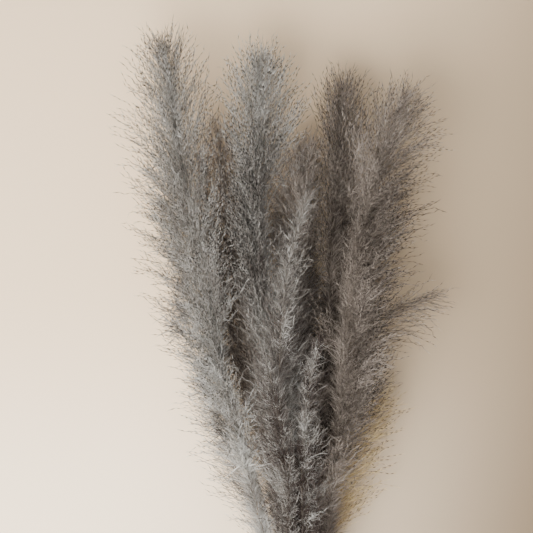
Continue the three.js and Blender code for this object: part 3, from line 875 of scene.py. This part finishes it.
    def add_curls(self):
        """Small curls on the upper side, where the plumes press together, pale as painted highlights."""
        rng = self.rng
        rises = self.tips[:, 2] > self.roots[:, 2]
        branch, _ = spaced(CURLS_PER_BRANCH * self.deep * rises * rng.uniform(0, 2, len(self.tips)))
        branch = branch[self.deep[branch] > SLIGHTLY_DEEP]
        count = len(branch)
        at, way = on_branch(self.points[branch], rng.uniform(0.6, 1, count))
        way = unit(way + 0.8 * rng.normal(0, 1, at.shape) + Z)
        # a pale painted highlight on each curl
        tone = shown(CURL_HIGHLIGHT_TONE + rng.normal(0, 0.12, count))
        lengths, widths = np.full(count, 1.1 * CURL_STEP), np.full(count, CURL_WIDTH)
        for _ in range(CURL_LINKS):
            slivers(self.build, at, way, lengths, widths, 0.5, tone, HAIR_BAND, rng)
            at = at + way * CURL_STEP
            way = unit(way + CURL_TURN * rng.normal(0, 1, at.shape))


def plume(axis):
    made = Plume(axis)
    made.add_rachis()
    made.add_branches()
    made.add_strands()
    made.add_fuzz()
    if axis.looks.gap_hairs:
        made.add_gap_hairs()
    made.add_core_hairs()
    made.add_curls()
    return made.build


# ---------------- culms

def culm_line(axis, s):
    """The culm's centre line and slope at distances past the tie, which are negative behind it."""
    s = np.asarray(s, float)
    ahead, slope = axis.along(np.maximum(s, 0))
    back = axis.start - axis.cut
    behind = axis.start + unit(back) * np.minimum(s, 0)[:, None]
    before = (s < 0)[:, None]
    return np.where(before, behind, ahead), np.where(before, unit(back), slope)


def culm_radius(axis, s):
    s = np.asarray(s, float)
    behind = lerp(CULM_TIE, CULM_CUT, np.clip(-s / np.linalg.norm(axis.start - axis.cut), 0, 1))
    ahead = lerp(CULM_TIE, CULM_FOOT, np.clip(s / (axis.foot * axis.length), 0, 1))
    return CULM_ROUND * np.where(s < 0, behind, ahead)


def culm_joints(rng, first, last):
    """Where the nodes stand, as distances past the tie."""
    joints = []
    s = first + rng.uniform(*FIRST_NODE)
    while s < last - LAST_NODE:
        if abs(s) > NODE_CLEAR:
            joints.append(s)
        s += rng.uniform(*NODE_SPACING)
    return joints


def culm(axis):
    rng = np.random.default_rng(CULM_SEED + axis.n)
    build = Build()
    first = -np.linalg.norm(axis.start - axis.cut)
    last = axis.foot * axis.length + 3
    column = axis.n % CULM_COLUMNS / CULM_COLUMNS

    def strip(low, high):
        """A band of the map, in this culm's own column."""
        return lambda around, along: np.stack((column + 0.005 + 0.24 * around, lerp(low, high, along)), -1)

    # the culm, with a swelling at each node
    joints = culm_joints(rng, first, last)
    rings = [np.linspace(first, last, CULM_RINGS)] + [j + np.array(NODE_RINGS) for j in joints]
    places = np.unique(np.concatenate(rings))
    centres, ways = culm_line(axis, places)
    radii = culm_radius(axis, places)
    for j in joints:
        radii = radii * (1 + NODE_SWELL * np.exp(-(((places - j) / NODE_WIDTH) ** 2)))
    tube(build, centres, radii, ROUND_SIDES, strip(*RIND_BAND), across(ways))

    # the cut end
    centres, ways = culm_line(axis, first + np.array(CUT_DEPTHS))
    radii = np.array(CUT_RADII) * culm_radius(axis, [first])
    tube(build, centres, radii, ROUND_SIDES, strip(*CUT_BAND), across(ways))

    # a dark scar at each node, and the torn remains of the leaf sheath that stood on it
    for j in joints:
        places = j + np.array(SCAR_RINGS)
        centres, ways = culm_line(axis, places)
        radii = culm_radius(axis, places) * np.array(SCAR_RADII)
        tube(build, centres, radii, ROUND_SIDES, strip(*SCAR_BAND), across(ways))
        reach = min(rng.uniform(*SHEATH_LENGTH), last - 4 - j)
        at_tie = j < SHEATH_CLEAR < j + reach + SHEATH_CLEAR
        if reach > LEAST_SHEATH and rng.uniform() < SHEATH_CHANCE and not at_tie:
            places = j + np.linspace(1.0, reach, SHEATH_RINGS)
            centres, ways = culm_line(axis, places)
            radii = culm_radius(axis, places) + np.linspace(*SHEATH_LIFT, SHEATH_RINGS)
            frame_across = tuple(x[None] for x in across(ways))
            rings = tube_rings(centres[None], radii[None], ROUND_SIDES, frame=frame_across)
            torn = rng.uniform(*SHEATH_TORN, ROUND_SIDES) * reach
            rings[0, -1] += ways[-1] * torn[:, None]
            rings[0, -2] += ways[-1] * 0.4 * torn[:, None]
            closed(build, rings, rings.mean(2), strip(*SHEATH_BAND))
    return build


# ---------------- the tie

def tie_line(angle, height, y):
    """Points on the tie: an angle round the bundle, a height above the culms and a place along Y."""
    spots = []
    for axis in axes:
        for aside in (-0.5, 0, 0.5):
            spots.append(culm_line(axis, [aside * TWINE_WIDTH])[0][0])
    spots = np.array(spots)[:, (0, 2)] - (0, TIE_HEIGHT)
    given = (np.atleast_1d(np.asarray(v, float)) for v in (angle, height, y))
    angle, height, y = np.broadcast_arrays(*given)
    out = np.stack((np.cos(angle), np.sin(angle)), 1)
    outermost = spots[np.argmax(out @ spots.T, axis=1)]
    flat = outermost + out * (CULM_TIE + GAP + height)[:, None]
    return np.stack((flat[:, 0], y, TIE_HEIGHT + flat[:, 1]), 1)


def resampled(path, step):
    gone = np.concatenate(((0,), np.cumsum(np.linalg.norm(np.diff(path, axis=0), axis=1))))
    places = np.linspace(0, gone[-1], max(int(gone[-1] / step), 3))
    return np.stack([np.interp(places, gone, path[:, i]) for i in range(3)], 1), places


def smoothed(path, rounds):
    for _ in range(rounds):
        path = np.concatenate((path[:1], 0.25 * path[:-2] + 0.5 * path[1:-1] + 0.25 * path[2:], path[-1:]))
    return path


def carried_frame(path):
    """Two directions across a path, carried along it without twisting."""
    ways = unit(np.gradient(path, axis=0))
    side = unit(np.cross(ways[0], (0.31, 0.93, 0.17)))
    sides = []
    for way in ways:
        side = unit(side - way * (side @ way))
        sides.append(side)
    sides = np.array(sides)
    return sides, np.cross(sides, ways)


def twine(build, path, radius, band, rng, step=0.8):
    """Three plies twisted round each other along a path. Returns its line and two directions across it."""
    path, gone = resampled(smoothed(path, 3), step)
    side, up = carried_frame(path)
    for ply in range(PLIES):
        turn = 2 * np.pi * (ply / PLIES + gone / TWIST_PITCH)
        centres = path + PLY_OUT * radius * (side * np.cos(turn)[:, None] + up * np.sin(turn)[:, None])
        radii = radius * (PLY_RADIUS + 0.02 * np.sin(gone * 2.1 + 2 * ply) + rng.normal(0, 0.008, len(gone)))
        column = 0.3 * ply

        def place(around, along):
            return np.stack((column + 0.01 + 0.28 * around, lerp(*band, along)), -1)

        tube(build, centres, radii, 6, place, (side, up))
    return path, side, up


def loose_fibres(build, line, number, length, width, rng, wide=(20, 80)):
    """Fibres that stand off a twine's line, leaning off it by degrees between the two in wide."""
    path, side, up = line
    pick = rng.integers(0, len(path) - 1, number)
    turn = rng.uniform(0, 2 * np.pi, number)[:, None]
    out = side[pick] * np.cos(turn) + up[pick] * np.sin(turn)
    ways = unit(np.gradient(path, axis=0))[pick] * rng.choice((-1, 1), number)[:, None]
    lean = np.radians(rng.uniform(*wide, number))[:, None]
    roots = path[pick] + out * TWINE_RADIUS * 0.8
    ways = unit(ways * np.cos(lean) + out * np.sin(lean))
    lengths, widths = rng.uniform(*length, number), np.full(number, width)
    tone = rng.uniform(0.92, 0.98, number)
    slivers(build, roots, ways, lengths, widths, HAIR_THICKEST, tone, FRAY_BAND, rng)


def tie():
    rng = np.random.default_rng(TIE_SEED)
    build = Build()
    turns = np.linspace(0, 2 * np.pi * TWINE_TURNS, 96 * TWINE_TURNS + 1)
    y = lerp(-0.5, 0.5, turns / turns[-1]) * (TWINE_WIDTH - TWINE_PITCH)
    line = twine(build, tie_line(np.pi / 2 + turns, TWINE_RADIUS, y), TWINE_RADIUS, (0.02, 0.52), rng)
    loose_fibres(build, line, 260, (2, 6), 0.16, rng)

    # the knot: each end goes over and under the other, on top of the turns
    t = np.linspace(0, 2 * np.pi, 60)
    height = 2.6 * TWINE_RADIUS
    x = 2.6 * np.sin(t) + 1.3 * np.sin(2 * t)
    y = 2.8 * np.cos(t) - 1.5 * np.cos(2 * t)
    knot = tie_line(np.pi / 2, height, 0)[0] + np.stack((x, y, 0.4 - 1.1 * np.sin(3 * t)), 1)
    twine(build, knot, TWINE_RADIUS * 0.86, (0.55, 0.62), rng, 0.6)

    # the two loose ends, frayed where they were cut
    for s in (-1, 1):
        t = np.linspace(0, 1, 24)
        angle = np.pi / 2 + s * (0.06 + 1.05 * t)
        path = tie_line(angle, height + 5 * np.sin(0.9 * np.pi * t), s * (2 + 13 * t))
        line = twine(build, path, TWINE_RADIUS, (0.65, 0.72), rng)
        loose_fibres(build, line, 24, (2, 4.5), 0.16, rng)
        loose_fibres(build, [x[-3:] for x in line], 60, (3, 7), 0.22, rng, (4, 40))
    return build


# ---------------- materials

def rgb(r, g, b):
    """A colour from its usual 0-255 values."""
    def line(c):
        c /= 255
        return c / 12.92 if c <= 0.04045 else ((c + 0.055) / 1.055) ** 2.4
    return (line(r), line(g), line(b), 1)


class Nodes:
    """A material's node tree, one call a node."""

    def __init__(self, name):
        self.material = bpy.data.materials.new(name)
        self.material.use_nodes = True
        self.tree = self.material.node_tree
        self.tree.nodes.clear()
        self.out = self.tree.nodes.new("ShaderNodeOutputMaterial")

    def node(self, kind, settings=None, **inputs):
        """A node with its settings, and its inputs by name, with _ for a space."""
        made = self.tree.nodes.new("ShaderNode" + kind)
        for key, value in (settings or {}).items():
            setattr(made, key, value)
        for key, value in inputs.items():
            self.feed(made.inputs[key.replace("_", " ")], value)
        return made

    def feed(self, socket, value):
        if isinstance(value, bpy.types.NodeSocket):
            self.tree.links.new(value, socket)
        else:
            socket.default_value = value

    def math(self, operation, a, b=0.0, clamp=False):
        made = self.tree.nodes.new("ShaderNodeMath")
        made.operation, made.use_clamp = operation, clamp
        self.feed(made.inputs[0], a)
        self.feed(made.inputs[1], b)
        return made.outputs[0]

    def mix(self, factor, a, b, blend="MIX"):
        made = self.tree.nodes.new("ShaderNodeMix")
        made.data_type, made.blend_type = "RGBA", blend
        self.feed(made.inputs[0], factor)
        self.feed(made.inputs[6], a)
        self.feed(made.inputs[7], b)
        return made.outputs[2]

    def ramp(self, factor, *stops):
        """Stops are (place, red, green, blue), or (place, grey) for a factor."""
        made = self.tree.nodes.new("ShaderNodeValToRGB")
        ends = made.color_ramp.elements
        while len(ends) < len(stops):
            ends.new(0.5)
        for end, (place, *tone) in zip(ends, stops):
            end.position = place
            end.color = rgb(*tone) if len(tone) == 3 else (*tone * 3, 1)
        self.feed(made.inputs[0], factor)
        return made.outputs[0]

    def noise(self, vector, scale, detail):
        flat = {"noise_dimensions": "2D"}
        return self.node("TexNoise", flat, Vector=vector, Scale=scale, Detail=detail).outputs[0]

    def between(self, value, low, high):
        """From low at 0 to high at 1."""
        return self.node("MapRange", Value=value, To_Min=low, To_Max=high).outputs[0]

    def step(self, value, low, high):
        """From 0 at low to 1 at high, smoothly."""
        settings = {"interpolation_type": "SMOOTHSTEP"}
        return self.node("MapRange", settings, Value=value, From_Min=low, From_Max=high).outputs[0]

    def past(self, v, start, a, b):
        """Colour b where v is over start, and a under it."""
        return self.mix(self.math("GREATER_THAN", v, start), a, b)

    def own_map(self):
        """The piece's own map, and its two coordinates."""
        made = self.node("UVMap", {"uv_map": "OFBake"})
        split = self.node("SeparateXYZ", Vector=made.outputs[0])
        return made.outputs[0], split.outputs[0], split.outputs[1]

    def show(self, shader):
        self.tree.links.new(shader.outputs[0], self.out.inputs[0])
        return self.material


PLUME_TONES = {  # from the depth of a plume to its lit outside
    "silver": ((74, 63, 59), (133, 126, 120), (178, 175, 169), (214, 213, 209)),
    "taupe": ((60, 52, 47), (112, 102, 93), (150, 139, 129), (192, 181, 171)),
    "straw": ((112, 88, 52), (166, 136, 88), (202, 172, 118), (224, 202, 154)),
}
TONE_STOPS = (0.05, 0.38, 0.68, 0.97)
GLUME_TONES = {"silver": (24, 16, 14), "taupe": (22, 15, 12), "straw": (56, 42, 26)}
STALK = (134, 122, 102)
LIGHT_THROUGH = 0.42  # the share of a plume's light that passes through its parts


def plume_material(tone):
    """Bands of the map: spikelets with a dark glume, pale hairs, stalks, and paler spikelets within."""
    nodes = Nodes("plume_" + tone)
    vector, u, v = nodes.own_map()
    glume = rgb(*GLUME_TONES[tone])
    body = nodes.ramp(u, *((place, *c) for place, c in zip(TONE_STOPS, PLUME_TONES[tone])))
    grain = nodes.noise(vector, 45.0, 3.0)

    # a dark glume between a pale foot and a pale awn
    along = nodes.math("MULTIPLY", nodes.math("SUBTRACT", v, OUTER_BAND), 1 / BAND_HEIGHT, clamp=True)
    dark = nodes.ramp(along, (0.0, 0.2), (0.1, 1.0), (0.4, 1.0), (0.5, 0.0))
    spikelet = nodes.mix(dark, body, glume)
    hair = nodes.mix(nodes.math("MULTIPLY", u, 0.45), body, rgb(*PLUME_TONES[tone][3]))
    stalk = nodes.mix(0.3, body, rgb(*STALK))
    colour = nodes.past(v, HAIRS_FROM, spikelet, hair)
    colour = nodes.past(v, STALKS_FROM, colour, stalk)
    along = nodes.math("MULTIPLY", nodes.math("SUBTRACT", v, INNER_BAND), 1 / BAND_HEIGHT, clamp=True)
    within = nodes.mix(nodes.ramp(along, (0.1, 0.3), (0.4, 0.3), (0.6, 0.0)), body, glume)
    colour = nodes.past(v, INNER_FROM, colour, within)
    colour = nodes.mix(1.0, colour, nodes.ramp(grain, (0.25, 0.82), (0.75, 1.0)), "MULTIPLY")
    rough = nodes.between(grain, 0.5, 0.75)
    glossy = nodes.node("BsdfPrincipled", Base_Color=colour, Roughness=rough, Specular_IOR_Level=0.35)
    through = nodes.node("BsdfTranslucent", Color=colour)
    both = nodes.node("MixShader", Fac=LIGHT_THROUGH)
    nodes.tree.links.new(glossy.outputs[0], both.inputs[1])
    nodes.tree.links.new(through.outputs[0], both.inputs[2])
    return nodes.show(both)


def stretched_noise(nodes, vector, across_scale, along_scale):
    scaled = nodes.node("VectorMath", {"operation": "MULTIPLY"})
    nodes.feed(scaled.inputs[0], vector)
    scaled.inputs[1].default_value = (across_scale, along_scale, 1)
    return nodes.noise(scaled.outputs[0], 1.0, 4.0)


def bumpy(nodes, colour, rough, height, strength):
    """The material of a surface that a height makes slightly uneven."""
    bump = nodes.node("Bump", Height=height, Strength=strength, Distance=0.3 * MM).outputs[0]
    return nodes.show(nodes.node("BsdfPrincipled", Base_Color=colour, Roughness=rough, Normal=bump))


def culm_material():
    """Bands of the map: streaked rind that greys towards the plume, node scars, sheaths and the pith."""
    nodes = Nodes("culm")
    vector, _, v = nodes.own_map()
    streaks = stretched_noise(nodes, vector, 150, 5)
    blotches = stretched_noise(nodes, vector, 14, 16)
    rind = nodes.ramp(streaks, (0.28, 150, 124, 80), (0.5, 186, 160, 112), (0.74, 208, 188, 146))
    rind = nodes.mix(nodes.ramp(blotches, (0.42, 0.0), (0.7, 0.55)), rind, rgb(128, 98, 64))
    rind = nodes.mix(nodes.ramp(v, (0.36, 0.0), (0.5, 0.85)), rind, rgb(104, 86, 70))
    scar = nodes.mix(streaks, rgb(92, 68, 44), rgb(134, 104, 70))
    sheath = nodes.ramp(streaks, (0.3, 176, 154, 114), (0.7, 214, 198, 164))
    pith = nodes.ramp(v, (0.92, 226, 214, 182), (0.945, 204, 186, 144), (0.965, 150, 124, 80))
    colour = nodes.past(v, SCARS_FROM, rind, scar)
    colour = nodes.past(v, SHEATHS_FROM, colour, sheath)
    colour = nodes.past(v, CUTS_FROM, colour, pith)
    return bumpy(nodes, colour, nodes.between(streaks, 0.38, 0.62), streaks, 0.35)


def twine_material():
    """Jute, with paler frayed fibres."""
    nodes = Nodes("twine")
    vector, _, v = nodes.own_map()
    fibres = stretched_noise(nodes, vector, 46, 120)
    colour = nodes.ramp(fibres, (0.25, 112, 84, 50), (0.5, 160, 128, 84), (0.78, 196, 168, 122))
    colour = nodes.past(v, FRAY_FROM, colour, rgb(190, 164, 120))
    return bumpy(nodes, colour, nodes.between(fibres, 0.75, 0.95), fibres, 0.5)


# ---------------- the frame's place

def cad_culm(axis):
    """The CAD culm's rings, to find where the frame has put it."""
    share = np.arange(CULM_STEPS + 1) / CULM_STEPS
    centres = np.concatenate((axis.cut[None], axis.along((axis.foot * axis.length - GAP / 2) * share)[0]))
    radii = np.concatenate(((CULM_CUT,), lerp(CULM_TIE, CULM_FOOT, share)))
    return tube_rings(centres[None], radii[None], CULM_SIDES, math.pi / CULM_SIDES)


offset = np.array(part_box("stem_01")[0]) - MM * cad_culm(axes[0]).reshape(-1, 3).min(0)

# ---------------- the pieces

def show(build, name, material, node):
    piece = build.make(name, material)
    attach(piece, "root")
    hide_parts(node)


plume_materials = {tone: plume_material(tone) for tone in PLUME_TONES}
rind = culm_material()
for axis in axes:
    number = f"{axis.n + 1:02d}"
    material = plume_materials[axis.tone]
    show(plume(axis), "fine_plume_" + number, material, "plume_" + number)
    show(culm(axis), "fine_stem_" + number, rind, "stem_" + number)
show(tie(), "fine_tie", twine_material(), "tie")

# ---------------- floor, light and camera

VIEW_CENTRE = np.array((-49.6, 562.0, 100.0)) * MM + offset
VIEW_WIDTH = 0.725
LENS, SENSOR = 135.0, 36.0

FLOOR_HALF = 6.0  # the floor's half width
FLOOR_DROP = 0.001  # how far it lies under z = 0
FLOOR_PAINTED_SHADE = (-0.24, 0.48)  # painted shade: its colour deepens between these places to the right
FLOOR_SHADE_SLANT = -0.3  # and how far the painted shade's places shift to the right for each metre ahead
FLOOR_PAINTED_LIGHT = (0.25, -0.15)  # a painted pool of light: it is palest towards the plumes' feet
FLOOR_FAR = (0.55, 1.5)  # beyond the view the painted light and shade give way, and it is evenly pale again
WORLD_COLOUR, WORLD_STRENGTH = (0.9, 0.88, 0.86, 1), 0.36


def floor_material():
    """Pale and plain, with painted shade that deepens it a little to the right and a painted pool of light
    towards the plumes' feet.
    """
    nodes = Nodes("floor")
    where = nodes.node("TexCoord").outputs["Object"]
    soft = nodes.node("TexNoise", Vector=where, Scale=1.6, Detail=2.0)
    colour = nodes.ramp(soft.outputs[0], (0.3, 221, 196, 163), (0.7, 226, 201, 168))
    split = nodes.node("SeparateXYZ", Vector=where)
    right, ahead = split.outputs[0], split.outputs[1]
    # a painted pool of light, palest towards the plumes' feet
    colour = nodes.mix(nodes.step(ahead, *FLOOR_PAINTED_LIGHT), colour, rgb(243, 222, 194))
    # painted shade, deepening the floor to the right
    shade_across = nodes.math("ADD", right, nodes.math("MULTIPLY", ahead, FLOOR_SHADE_SLANT))
    colour = nodes.mix(nodes.step(shade_across, *FLOOR_PAINTED_SHADE), colour, rgb(112, 96, 75))
    away = nodes.node("VectorMath", {"operation": "DISTANCE"})
    nodes.feed(away.inputs[0], where)
    away.inputs[1].default_value = tuple(VIEW_CENTRE)
    colour = nodes.mix(nodes.step(away.outputs["Value"], *FLOOR_FAR), colour, rgb(238, 222, 200))
    return nodes.show(nodes.node("BsdfPrincipled", Base_Color=colour, Roughness=0.9))


corners = [(x * FLOOR_HALF, y * FLOOR_HALF, 0) for x, y in ((-1, -1), (1, -1), (1, 1), (-1, 1))]
mesh = bpy.data.meshes.new("floor")
mesh.from_pydata(corners, [], [(0, 1, 2, 3)])
mesh.materials.append(floor_material())
floor = bpy.data.objects.new("floor", mesh)
floor.location.z = -FLOOR_DROP
bpy.context.scene.collection.objects.link(floor)

camera = bpy.data.objects.new("camera", bpy.data.cameras.new("camera"))
camera.data.lens, camera.data.sensor_width = LENS, SENSOR
camera.location = VIEW_CENTRE + np.array((0, 0, VIEW_WIDTH * LENS / SENSOR))
bpy.context.scene.collection.objects.link(camera)
bpy.context.scene.camera = camera


def area_light(name, size, power, colour, spot, target, spread=180):
    data = bpy.data.lights.new(name, "AREA")
    data.shape, data.size, data.energy, data.color = "DISK", size, power, colour
    light = bpy.data.objects.new(name, data)
    light.location = spot
    light.visible_camera = False
    data.spread = math.radians(spread)
    way = Vector(target) - Vector(spot)
    light.rotation_euler = way.to_track_quat("-Z", "Y").to_euler()
    bpy.context.scene.collection.objects.link(light)


target = tuple(VIEW_CENTRE)
area_light("window", 2.6, 86.0, (1.0, 0.97, 0.93), (-1.0, -0.75, 1.42), (-0.45, -0.1, 0.0), 110)
area_light("fill", 2.4, 20.0, (0.95, 0.97, 1.0), (0.4, 1.2, 2.6), target)
world = bpy.data.worlds.new("world")
world.use_nodes = True
background = world.node_tree.nodes["Background"]
background.inputs[0].default_value = WORLD_COLOUR
background.inputs[1].default_value = WORLD_STRENGTH
bpy.context.scene.world = world
